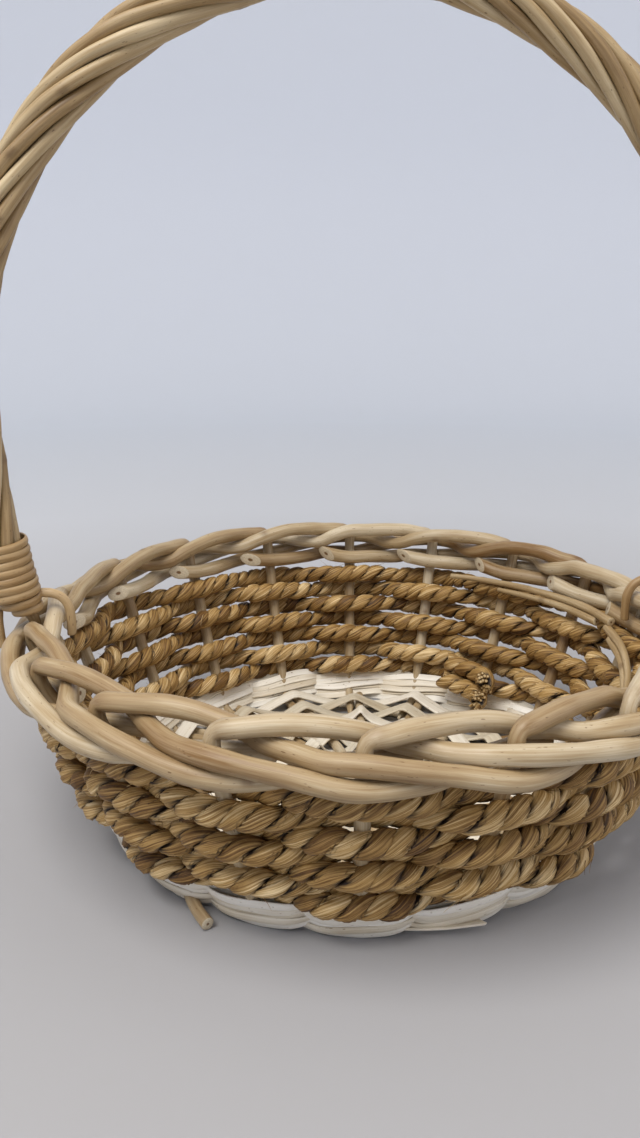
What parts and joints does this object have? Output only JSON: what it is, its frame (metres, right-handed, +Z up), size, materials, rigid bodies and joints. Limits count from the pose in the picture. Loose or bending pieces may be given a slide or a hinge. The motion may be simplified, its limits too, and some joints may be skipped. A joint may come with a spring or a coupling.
{
  "type": "easter basket",
  "caption": "Round shallow woven basket with a seagrass rope wall, a thick willow border, a flat split-willow base and a fixed roped bow handle.",
  "frame": {"origin": "middle of the underside, on the surface the basket stands on", "axes": "+Z up; the bow handle stands in the XZ plane; the basket is the same from +Y and -Y"},
  "size_m": [0.3347, 0.3044, 0.3571],
  "materials": {
    "willow_rod": "peeled willow rod, pale tan, satin",
    "split_willow": "split white willow strip, matt",
    "seagrass": "two-ply twisted seagrass rope, fibrous, matt",
    "skein": "shaved willow skein, satin"
  },
  "bodies": {
    "root": {"stake_rod_1": "willow_rod", "stake_rod_2": "willow_rod", "stake_rod_3": "willow_rod", "stake_rod_4": "willow_rod", "stake_rod_5": "willow_rod", "stake_rod_6": "willow_rod", "stake_rod_7": "willow_rod", "stake_rod_8": "willow_rod", "stake_rod_9": "willow_rod", "stake_rod_10": "willow_rod", "stake_rod_11": "willow_rod", "stake_rod_12": "willow_rod", "stake_rod_13": "willow_rod", "stake_rod_14": "willow_rod", "stake_rod_15": "willow_rod", "stake_rod_16": "willow_rod", "stake_rod_17": "willow_rod", "stake_rod_18": "willow_rod", "rope_course_1": "seagrass", "rope_course_2": "seagrass", "rope_course_3": "seagrass", "rope_course_4": "seagrass", "rope_course_5": "seagrass", "rope_course_6": "seagrass", "rope_course_7": "seagrass", "rope_end_lower": "seagrass", "rope_end_upper": "seagrass", "base_sticks": "willow_rod", "base_edge_inner": "split_willow", "base_edge_outer": "split_willow", "base_band_inner": "split_willow", "base_band_outer": "split_willow", "base_strip_1": "split_willow", "base_strip_2": "split_willow", "base_strip_3": "split_willow", "base_strip_4": "split_willow", "base_strip_5": "split_willow", "base_strip_6": "split_willow", "base_strip_7": "split_willow", "base_strip_8": "split_willow", "handle_core": "willow_rod", "roping_rod_1": "willow_rod", "roping_rod_2": "willow_rod", "roping_rod_3": "willow_rod", "roping_rod_4": "willow_rod", "roping_rod_5": "willow_rod", "roping_rod_6": "willow_rod", "roping_rod_7": "willow_rod", "roping_rod_8": "willow_rod", "roping_tails": "willow_rod", "foot_binding_left": "skein", "foot_binding_right": "skein", "lashing_left": "skein", "lashing_right": "skein"}
  },
  "joints": []
}
